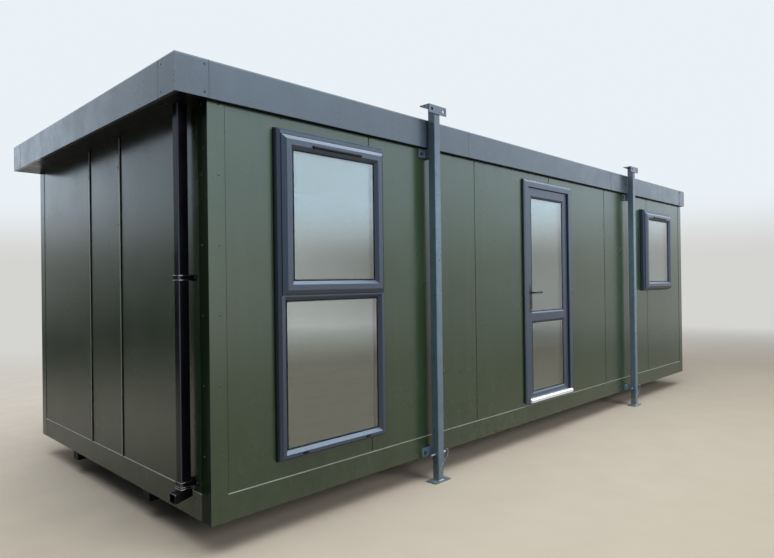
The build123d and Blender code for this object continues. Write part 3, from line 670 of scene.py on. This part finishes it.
def end_wall_joints(seals, folds, laps):
    """The deeper joints of the end walls: a bead of sealant, the fold lightened by wear and painted
    highlight, and the lap beside it.
    """
    bead = [(-0.004, 0), (-0.004, 0.0045), (-0.002, 0.0060), (0.002, 0.0062), (0.002, 0)]
    fold = [(0.002, 0), (0.002, 0.0068), (0.004, 0.0072), (0.012, 0.0070), (0.012, 0)]
    lap = [(0.012, 0), (0.012, 0.0068), (0.018, 0.0060), (0.024, 0)]
    for x, outward in end_walls:
        for joint in end_joints:
            start = (x, front_y + joint, skirt_top)
            end = (x, front_y + joint, soffit_z)
            for bm, outline in ((seals, bead), (folds, fold), (laps, lap)):
                add_sweep(bm, outline, start, end, (0, 1, 0), (outward, 0, 0))


def sheet_joints():
    """The sealed lap of each cladding sheet: a dark line with the edge of the sheet beside it, on the ends
    lighter by wear and painted highlight.
    """
    seals, laps, folds = bmesh.new(), bmesh.new(), bmesh.new()
    long_wall_joints(seals, laps)
    trim_seams(seals)
    end_wall_joints(seals, folds, laps)
    finish_piece("joint_seals", seals, "rubber", "cabin")
    finish_piece("joint_laps", laps, "wall_cladding", "cabin")
    # the folds take the edge finish with its painted highlight
    finish_piece("joint_folds", folds, "sheet_edge", "cabin")


def skirt_hems():
    """The folded top edge of each skirt flashing."""
    bm = bmesh.new()
    thickness, drop = 0.0022, 0.0065
    outline = [(0, 0), (thickness, -drop * 0.55), (thickness * 0.8, -drop), (0, -drop)]
    for low, high in solid_boxes("skirt_flashings"):
        back, far = low.y + high.y > 0, low.x + high.x > 0
        if high.x - low.x > high.y - low.y:
            outward = (0, 1 if back else -1, 0)
            face = high.y if back else low.y
            start, end = (low.x, face, high.z), (high.x, face, high.z)
        else:
            outward = (1 if far else -1, 0, 0)
            face = high.x if far else low.x
            start, end = (face, low.y, high.z), (face, high.y, high.z)
        add_sweep(bm, outline, start, end, outward, (0, 0, 1))
    # the hems take the edge finish with its painted highlight
    finish_piece("skirt_hems", bm, "sheet_edge", "cabin")


# Roof edge

cap_screw_rows = (roof_z - 0.027, soffit_z + 0.030)
cap_screw_inset = 0.170
cap_end_screw_inset = 0.163
cap_thickness = 0.0015
cap_skin = 0.0005
fascia_joints = (2.320, 5.000)
fascia_lap = 0.045
lap_thickness = 0.0012


def fascia_fixings():
    """Screws in the corner caps, and the lapped and riveted joints of the long fascias."""
    screws, end_screws, laps = bmesh.new(), bmesh.new(), bmesh.new()
    for y, outward in ((ring_y0, -1), (ring_y1, 1)):
        for x in (ring_x0 + cap_screw_inset, ring_x1 - cap_screw_inset):
            for z in cap_screw_rows:
                add_lathe(screws, screw_profile, (x, y + outward * cap_thickness, z), (0, outward, 0), 10)
        y0, y1 = layer(y, outward * lap_thickness)
        for x in (near_x + joint for joint in fascia_joints):
            add_block(laps, (x, y0, soffit_z + 0.001), (x + fascia_lap, y1, roof_z - 0.001), 0.0004, 1)
            for z in cap_screw_rows:
                place = (x + 0.022, y + outward * lap_thickness, z)
                add_lathe(screws, rivet_profile, place, (0, outward, 0), 10)
    for x, outward in ((ring_x0, -1), (ring_x1, 1)):
        for y in (ring_y0 + cap_end_screw_inset, ring_y1 - cap_end_screw_inset):
            for z in cap_screw_rows:
                add_lathe(end_screws, low_screw, (x + outward * cap_skin, y, z), (outward, 0, 0), 10)
    finish_piece("fascia_screws", screws, "fastener", "cabin")
    finish_piece("fascia_end_screws", end_screws, "rivet", "cabin")
    finish_piece("fascia_laps", laps, "fascia", "cabin")


def corner_caps():
    """The corner caps, their end faces drawn back so that the screw heads stay within the CAD's box."""
    bm = bmesh.new()
    bm.from_mesh(frame["nodes"]["fascia_corner_caps"].data)
    for v in bm.verts:
        v.co.x = max(ring_x0 - cap_skin, min(ring_x1 + cap_skin, v.co.x))
    caps = finish_piece("fascia_caps", bm, "fascia", "cabin")
    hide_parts("fascia_corner_caps")


def painted_eaves_shade_and_seams():
    """A black strip of painted shade under the foot of the long fascias, and a dark seam beside each corner
    cap.
    """
    bm = bmesh.new()
    shade_strip_height, shade_strip_gap = 0.005, 0.002
    shade_strip_reach = front_y - ring_y0 - trim_thickness - 0.0005
    seam_half, seam_height = 0.0015, 0.0006
    for y, inward in ((ring_y0, 1), (ring_y1, -1)):
        # painted shade: a black strip fills the gap under each fascia's foot
        y0, y1 = sorted((y + inward * shade_strip_gap, y + inward * shade_strip_reach))
        add_block(bm, (near_x, y0, soffit_z - shade_strip_height), (far_x, y1, soffit_z), 0.001, 1)
        y0, y1 = layer(y, -inward * seam_height)
        for x in (ring_x0 + cap_leg, ring_x1 - cap_leg):
            add_block(bm, (x - seam_half, y0, soffit_z), (x + seam_half, y1, roof_z))
    for x, inward in ((ring_x0, 1), (ring_x1, -1)):
        x0, x1 = layer(x, -inward * seam_height)
        for y in (ring_y0 + cap_leg, ring_y1 - cap_leg):
            add_block(bm, (x0, y - seam_half, soffit_z), (x1, y + seam_half, roof_z))
    finish_piece("painted_eaves_shade_and_seams", bm, "rubber", "cabin")


def roof_screws():
    """Screws with washers along the crowns of the roof sheet, which falls towards the near end."""
    bm = bmesh.new()
    rows, inset, rib_pitch, sunk, drop = 8, 0.12, 0.2, 0.0004, 0.035
    low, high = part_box("roof_sheet")
    fall = drop / (far_x - near_x)
    for row in range(rows):
        x = low.x + inset + row * (high.x - low.x - 2 * inset) / (rows - 1)
        z = high.z - (high.x - x) * fall - sunk
        for rib in range(-7, 8):
            add_lathe(bm, screw_profile, (x, rib_pitch * rib, z), (0, 0, 1), 8)
    finish_piece("roof_screws", bm, "fastener", "cabin")


def gutter_straps():
    """Flat straps over the gutter's trough."""
    bm = bmesh.new()
    count, half, thickness = 5, 0.012, 0.003
    low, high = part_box("roof_gutter")
    for i in range(count):
        y = low.y + (high.y - low.y) * (i + 0.5) / count
        add_block(bm, (low.x, y - half, high.z - thickness), (high.x, y + half, high.z), 0.0008, 1)
    finish_piece("gutter_straps", bm, "galvanised", "cabin")


# Windows and door

gasket_inset = 0.010
gasket_width = 0.0045
gasket_height = 0.003


def window_seals():
    """Sealant round the frames, gaskets round sashes and panes, and drain caps in the sills."""
    seals, caps = bmesh.new(), bmesh.new()
    sealant, sash_gap, sash_seal, cap_half = 0.006, 0.003, 0.008, 0.022
    for low, high in openings:
        add_ring(seals, low, high, sealant, sealant, front_y - 0.004, front_y)
    for name in ("tall_window", "small_window"):
        frame_low, frame_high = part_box(name + "_frame")
        sash_low, sash_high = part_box(name + "_sash")
        add_ring(seals, sash_low, sash_high, sash_gap, sash_seal, frame_low.y - 0.0036, frame_low.y)
        for low, high in solid_boxes(name + "_glass"):
            add_ring(seals, low, high, -gasket_inset, gasket_width, low.y - gasket_height, low.y)
        for share in (0.2, 0.8):
            x = frame_low.x + (frame_high.x - frame_low.x) * share
            add_block(caps, (x - cap_half, frame_low.y - 0.004, frame_low.z + 0.018),
                      (x + cap_half, frame_low.y, frame_low.z + 0.030), 0.0015)
    finish_piece("window_seals", seals, "rubber", "cabin")
    finish_piece("drain_caps", caps, "vent", "cabin")


def door_seals():
    """The gasket that the leaf shuts on, and the gaskets round its panes."""
    shut, lights = bmesh.new(), bmesh.new()
    leaf_low, leaf_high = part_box("door_leaf")
    lap, outer, lip = 0.015, 0.008, 0.004
    x0, x1 = leaf_low.x + lap, leaf_high.x - lap
    z0, z1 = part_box("door_threshold")[1].z, leaf_high.z - lap
    y0, y1 = leaf_low.y - 0.0050, leaf_low.y - 0.0006
    add_block(shut, (x0 - outer, y0, z0), (x0 + lip, y1, z1))
    add_block(shut, (x1 - lip, y0, z0), (x1 + outer, y1, z1))
    add_block(shut, (x0 - outer, y0, z1 - lip), (x1 + outer, y1, z1 + outer))
    finish_piece("door_gasket", shut, "rubber", "cabin")
    for low, high in solid_boxes("door_glass"):
        for y0, y1 in ((low.y - gasket_height, low.y), (high.y, high.y + gasket_height)):
            add_ring(lights, low, high, -gasket_inset, gasket_width, y0, y1)
    finish_piece("door_light_gaskets", lights, "rubber", "door")


def lock_fixings():
    """Screws in the lock plates on both sides of the leaf, and the key slots."""
    screws, slots = bmesh.new(), bmesh.new()
    plate_step, screw_inset, key_drop = 0.005, 0.016, 0.166
    half_width, half_height = 0.0010, 0.0045
    for low, high in solid_boxes("door_lock_plates"):
        x = (low.x + high.x) / 2
        outward = -1 if low.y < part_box("door_leaf")[0].y else 1
        face = low.y if outward < 0 else high.y
        for z in (low.z + screw_inset, high.z - screw_inset):
            add_lathe(screws, flat_screw, (x, face - outward * plate_step, z), (0, outward, 0), 10)
        y0, y1 = layer(face, outward * line_height)
        z = high.z - key_drop
        add_block(slots, (x - half_width, y0, z - half_height), (x + half_width, y1, z + half_height))
    finish_piece("lock_plate_screws", screws, "hinge", "door")
    finish_piece("key_slots", slots, "rubber", "door")


def hinge_screws():
    """Two screws in each flap of the hinges."""
    flap_height, edge_inset = 0.0445, 0.010
    for node, body, side in (("door_hinges_frame", "cabin", 1), ("door_hinges_leaf", "door", -1)):
        bm = bmesh.new()
        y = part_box("door_leaf")[1].y + 0.003
        for low, high in solid_boxes(node):
            x = high.x - edge_inset if side > 0 else low.x + edge_inset
            foot = low.z if side > 0 else high.z - flap_height
            for share in (0.28, 0.72):
                add_lathe(bm, flat_screw, (x, y, foot + flap_height * share), (0, 1, 0), 10)
        finish_piece(node + "_screws", bm, "fastener", body)


# Downpipe

rim_lip = 0.0012
rim_root = 0.001


def clip_rims(bm, low, high):
    """Rounded rims along both edges of a clip's band."""
    pipe_low, pipe_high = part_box("downpipe")
    band, rim = 0.003, 0.004
    front, back = pipe_low.y - band - rim_lip, pipe_high.y + band + rim_lip
    for z in (low.z, high.z - rim):
        add_block(bm, (low.x - rim_lip, front, z), (low.x + rim_root, back, z + rim), 0.0005)
        for y in (front, pipe_high.y + band - rim_root):
            add_block(bm, (low.x, y, z), (pipe_high.x + band, y + rim_root + rim_lip, z + rim), 0.0005)


def shoe_rims(bm):
    """The rolled rims at the mouth and round the socket of the shoe."""
    low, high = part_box("downpipe_shoe")
    mouth_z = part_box("downpipe")[0].z
    rim, wall = 0.004, 0.003
    add_block(bm, (low.x, low.y - rim_lip, mouth_z),
              (low.x + 0.006, high.y + rim_lip, mouth_z + rim + rim_lip), 0.0010)
    x0, x1 = high.x - (high.y - low.y), high.x
    z0, z1 = high.z - 0.006, high.z + 0.0006
    for y0, y1 in ((low.y - rim_lip, low.y + wall), (high.y - wall, high.y + rim_lip)):
        add_block(bm, (x0 - rim_lip, y0, z0), (x1 + rim_lip, y1, z1), 0.0008)
    for left, right in ((x0 - rim_lip, x0 + wall), (x1 - wall, x1 + rim_lip)):
        add_block(bm, (left, low.y + wall, z0), (right, high.y - wall, z1), 0.0008)


def downpipe_fixings():
    """Rims on the clips and the shoe, and screws through the clips' ears."""
    rims, screws = bmesh.new(), bmesh.new()
    ear, ear_screw = 0.003, 0.012
    for low, high in solid_boxes("downpipe_clips"):
        clip_rims(rims, low, high)
        for y in (low.y + ear_screw, high.y - ear_screw):
            add_lathe(screws, screw_profile, (high.x - ear, y, (low.z + high.z) / 2), (-1, 0, 0), 10)
    shoe_rims(rims)
    finish_piece("downpipe_rims", rims, "gloss_edge", "cabin")
    finish_piece("downpipe_screws", screws, "fastener", "cabin")


# Jack legs

weld = 0.006
fillet = [(0.0, 0.0), (weld, 0.0), (weld * 0.62, weld * 0.38), (weld * 0.38, weld * 0.62), (0.0, weld)]
plate_thickness = 0.008
post_half = 0.0325
leg_half = 0.0275
bolt_offset = 0.070


def bracket_fixings():
    """A nut on a washer at each ear of the wall brackets, and the welds of brackets and lifting angles."""
    bolts, welds = bmesh.new(), bmesh.new()
    for low, high in solid_boxes("jack_wall_brackets"):
        outward = -1 if low.y < 0 else 1
        y = high.y - plate_thickness if outward < 0 else low.y + plate_thickness
        x, z = (low.x + high.x) / 2, (low.z + high.z) / 2
        for side in (-1, 1):
            for profile, segments in ((washer_profile, 18), (nut_profile, 6), (thread_profile, 10)):
                add_lathe(bolts, profile, (x + side * bolt_offset, y, z), (0, outward, 0), segments)
            edge = x + side * post_half
            add_sweep(welds, fillet, (edge, y, low.z + 0.002), (edge, y, high.z - 0.002),
                      (side, 0, 0), (0, outward, 0))
    head_welds(welds)
    finish_piece("bracket_bolts", bolts, "fastener", "cabin")
    finish_piece("bracket_welds", welds, "jack_steel", "cabin")


def head_welds(bm):
    """The welds between the head of each post and its lifting angle."""
    end, flange = 0.002, 0.052
    for low, high in solid_boxes("jack_posts"):
        outward = -1 if low.y < 0 else 1
        y, top = low.y if outward < 0 else high.y, high.z
        for side, x in ((-1, low.x), (1, high.x)):
            add_sweep(bm, fillet, (x, y, top - flange), (x, y, top - end), (side, 0, 0), (0, -outward, 0))
            add_sweep(bm, fillet, (x, low.y + weld, top), (x, high.y - weld, top), (side, 0, 0), (0, 0, -1))


def foot_welds(name, x, y, z):
    """Welds between an inner leg and its foot plate."""
    bm = bmesh.new()
    for side in (-1, 1):
        edge_x, edge_y = x + side * leg_half, y + side * leg_half
        add_sweep(bm, fillet, (edge_x, y - leg_half, z), (edge_x, y + leg_half, z), (side, 0, 0), (0, 0, 1))
        add_sweep(bm, fillet, (x - leg_half, edge_y, z), (x + leg_half, edge_y, z), (0, side, 0), (0, 0, 1))
    finish_piece("foot_welds_" + name, bm, "jack_steel", "leg_" + name)


def linch_pin(name, leg_x, y):
    """The domed ends of a jack pin, and its linch pin with ring and wire."""
    bm = bmesh.new()
    pin_half, pin_radius, ring_radius, ring_wire = 0.024, 0.0030, 0.021, 0.0017
    low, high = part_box("jack_pin_" + name)
    outward = -1 if y < 0 else 1
    z = (low.z + high.z) / 2
    radius = (high.z - low.z) / 2
    dome = [(0.0, 0.0022), (radius * 0.6, 0.0018), (radius, 0.0), (radius + 0.0006, -0.0030),
            (0.0, -0.0030)]
    for side, end_x in ((-1, low.x), (1, high.x)):
        add_lathe(bm, dome, (end_x, y, z), (side, 0, 0), 16)
    hole_x = high.x - 0.014
    add_wire(bm, [(hole_x, y, z - pin_half), (hole_x, y, z + pin_half)], pin_radius, 8)
    ring = circle((hole_x, y + outward * 0.020, z + 0.012), ring_radius, 24)
    add_wire(bm, ring, ring_wire, closed=True)
    face = y + outward * (leg_half + 0.0085)
    add_wire(bm, [(hole_x, y + outward * 0.040, z + 0.004),
                  (hole_x - 0.012, face + outward * 0.006, z - 0.022),
                  (leg_x + 0.022, face, z - 0.060),
                  (leg_x - 0.002, face - outward * 0.003, z - 0.088),
                  (leg_x - 0.018, face - outward * 0.004, z - 0.110)], 0.0015)
    finish_piece("linch_pin_" + name, bm, "linch_pin", "leg_" + name)


def leg_fixings(name):
    """What is fixed to one inner leg."""
    low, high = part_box("jack_leg_" + name)
    x, y = (low.x + high.x) / 2, (low.y + high.y) / 2
    foot_welds(name, x, y, low.z + plate_thickness)
    linch_pin(name, x, y)


# Chassis

def chassis_cleats():
    """Angle cleats that tie the runners to the cross beams."""
    bm = bmesh.new()
    inset, reach, drop, thickness = 0.004, 0.040, 0.042, 0.006
    runners = solid_boxes("chassis_runners")
    for low, high in solid_boxes("chassis_cross_beams"):
        x0, x1 = low.x + inset, high.x - inset
        for runner_low, runner_high in runners:
            inward = 1 if runner_low.y + runner_high.y < 0 else -1
            edge = runner_high.y if inward > 0 else runner_low.y
            y0, y1 = layer(edge, inward * reach)
            add_block(bm, (x0, y0, low.z - thickness), (x1, y1, low.z), 0.001, 1)
            y0, y1 = layer(edge, inward * thickness)
            add_block(bm, (x0, y0, low.z - drop), (x1, y1, low.z - thickness), 0.001, 1)
    finish_piece("chassis_cleats", bm, "chassis", "cabin")


# Glass units

def glass_units():
    """Two sheets of float glass with a spacer frame between them, in place of each solid pane."""
    sheet, inset, face = 0.004, 0.012, 0.007
    for name, body in (("tall_window", "cabin"), ("small_window", "cabin"), ("door", "door")):
        node = name + "_glass"
        panes, bars = bmesh.new(), bmesh.new()
        for low, high in solid_boxes(node):
            add_block(panes, low, (high.x, low.y + sheet, high.z))
            add_block(panes, (low.x, high.y - sheet, low.z), high)
            add_ring(bars, low, high, -inset, face, low.y + sheet, high.y - sheet)
        sheets = finish_piece(node + "_panes", panes, "glass", body)
        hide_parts(node)
        finish_piece(node + "_spacers", bars, "spacer", body)


sheet_joints()
cladding_rivets()
skirt_hems()
fascia_fixings()
corner_caps()
painted_eaves_shade_and_seams()
roof_screws()
gutter_straps()
window_seals()
door_seals()
lock_fixings()
hinge_screws()
downpipe_fixings()
bracket_fixings()
for leg in leg_names:
    leg_fixings(leg)
chassis_cleats()
glass_units()


# Floor, light and camera

class WorldNodes(Finish):
    """The same short calls for nodes outside a material."""

    def __init__(self, tree):
        self.tree = tree


def toward(f, flat, azimuth, start, full, away=0.0, facing=1.0):
    """A number that goes from away to facing as a level direction turns to an azimuth in degrees."""
    way = (math.cos(math.radians(azimuth)), math.sin(math.radians(azimuth)), 0.0)
    return f.span(f.vector("DOT_PRODUCT", flat, way, "Value"), start, full, away, facing)


def surroundings(f, direction):
    """Brightness and colour of the studio in a direction: a pale wall and backdrop under a cool top light,
    brightest before the cabin's near front corner, darker beyond the gutter end and behind the photo's
    viewpoint. What the camera itself sees is the plain backdrop on every side."""
    flat = f.vector("NORMALIZE", f.vector("MULTIPLY", direction, (1.0, 1.0, 0.0)))
    height = f.node("SeparateXYZ", {"Vector": direction}).outputs["Z"]
    camera_ray = f.node("LightPath").outputs["Is Camera Ray"]
    backdrop = f.math("MAXIMUM", toward(f, flat, 45, 0.66, 0.84), camera_ray)
    gutter_end = toward(f, flat, 110, 0.50, 0.80)
    screen = toward(f, flat, 130, 0.85, 0.98)
    near_front = toward(f, flat, -70, 0.60, 0.98, 2.05, 2.45)
    corner = toward(f, flat, -80, 0.82, 0.96, 0.0, 0.9)
    behind = toward(f, flat, 215, 0.76, 0.95, 1.0, 0.34)
    low = f.math("ADD", toward(f, flat, -40, -1.0, 1.0, 0.60, 0.80), corner)
    low = f.times(f.times(low, f.span(screen, 0.0, 1.0, 1.0, 0.14)), behind)
    high = f.blend(gutter_end, near_front, 2.55)
    high = f.times(high, f.span(screen, 0.0, 1.0, 1.0, 0.34))
    high = f.times(high, f.span(height, 0.36, 0.72, 1.0, 3.4))
    high = f.times(high, behind)
    rise = f.node("MapRange", {"Value": height, "From Min": 0.03, "From Max": 0.13},
                  interpolation_type="SMOOTHSTEP").outputs["Result"]
    strength = f.blend(rise, f.blend(backdrop, low, 0.66), f.blend(backdrop, high, 0.93))
    sky = f.mix(backdrop, (0.74, 0.87, 1.0, 1.0), (0.88, 0.95, 1.0, 1.0))
    return strength, f.mix(rise, (1.0, 0.995, 0.97, 1.0), sky)


def pale_world():
    """The surroundings as the camera, metal and glass see them; on the cabin they light more softly."""
    world = bpy.data.worlds.new("studio")
    world.use_nodes = True
    bpy.context.scene.world = world
    f = WorldNodes(world.node_tree)
    direction = f.node("TexCoord").outputs["Generated"]
    strength, colour = surroundings(f, direction)
    height = f.node("SeparateXYZ", {"Vector": direction}).outputs["Z"]
    background = world.node_tree.nodes["Background"]
    soft = f.span(height, 0.0, 0.9, 0.01, 0.26)
    f.feed(background.inputs["Strength"], f.blend(f.seen(), soft, strength))
    f.feed(background.inputs["Color"], colour)


def floor_finish():
    """Pale ground with painted light, darker in front and lighter behind the cabin, that throws less light
    on dull surfaces and fades far off into a glow that also lightens the ground behind the cabin.
    """
    f = Finish("studio_floor")
    y = f.axis("Y")
    # painted light: the ground's tone rises from front to back, lighter where the lamps light it less
    tone = f.mix(f.span(y, -3.5, -0.8), srgb(181, 172, 157), srgb(197, 187, 172))
    tone = f.mix(f.span(y, -0.6, 2.2), tone, srgb(232, 221, 205))
    mottled = f.mix(f.span(f.noise(3, 6), 0.3, 0.7, 0.0, 0.15), tone, srgb(158, 148, 132))
    f.set(Base_Color=f.mix(f.seen(), srgb(132, 116, 96), mottled), Roughness=0.85, Specular_IOR_Level=0.0)
    # painted light: far off the ground glows like the backdrop, which also lightens the ground behind the
    # cabin
    from_door = f.vector("SUBTRACT", f.place, (1.0, -2.0, 0.0))
    fade = f.span(f.vector("LENGTH", from_door, output="Value"), 5.5, 14.0)
    strength, colour = surroundings(f, f.vector("NORMALIZE", f.place))
    f.cover(fade, f.node("Emission", {"Color": colour, "Strength": strength}))
    return f.material


def pale_floor():
    """A wide round floor that keeps the cabin's shadow."""
    bm = bmesh.new()
    bmesh.ops.create_circle(bm, cap_ends=True, radius=150.0, segments=64)
    mesh = bpy.data.meshes.new("studio_floor")
    bm.to_mesh(mesh)
    bm.free()
    mesh.materials.append(floor_finish())
    floor = bpy.data.objects.new("studio_floor", mesh)
    bpy.context.scene.collection.objects.link(floor)


def softbox(name, place, target, width, height, power):
    """A large soft lamp that metal and glass don't mirror."""
    lamp = bpy.data.lights.new(name, "AREA")
    lamp.shape = "RECTANGLE"
    lamp.size = width
    lamp.size_y = height
    lamp.energy = power
    box = bpy.data.objects.new(name, lamp)
    box.location = place
    box.rotation_euler = (Vector(target) - Vector(place)).to_track_quat("-Z", "Y").to_euler()
    box.visible_glossy = False
    box.visible_transmission = False
    bpy.context.scene.collection.objects.link(box)


def photo_camera():
    """The camera where the photograph was taken from."""
    place = (-5.228, -4.479, 1.509)
    yaw, pitch, roll = math.radians(44.636), math.radians(0.202), math.radians(-0.730)
    forward = Vector((math.cos(yaw) * math.cos(pitch), math.sin(yaw) * math.cos(pitch), math.sin(pitch)))
    level_right = Vector((math.sin(yaw), -math.cos(yaw), 0.0))
    level_up = level_right.cross(forward)
    right = level_right * math.cos(roll) + level_up * math.sin(roll)
    up = -level_right * math.sin(roll) + level_up * math.cos(roll)
    lens = bpy.data.cameras.new("photo_camera")
    lens.lens = 27.774
    lens.sensor_width = 36.0
    camera = bpy.data.objects.new("photo_camera", lens)
    turn = Matrix((right, up, -forward)).transposed()
    camera.matrix_world = Matrix.Translation(place) @ turn.to_4x4()
    bpy.context.scene.collection.objects.link(camera)
    bpy.context.scene.camera = camera


pale_world()
pale_floor()
softbox("key_softbox", (-0.5, -13.0, 5.5), (0.0, -1.5, 1.3), 7.0, 5.0, 740)
softbox("top_softbox", (-2.5, -3.0, 10.0), (-2.0, -2.0, 0.0), 15.0, 9.0, 1400)
softbox("back_softbox", (3.5, 13.0, 4.5), (0.5, 1.5, 1.2), 7.0, 4.0, 520)
photo_camera()
bpy.context.scene.view_settings.view_transform = "Standard"
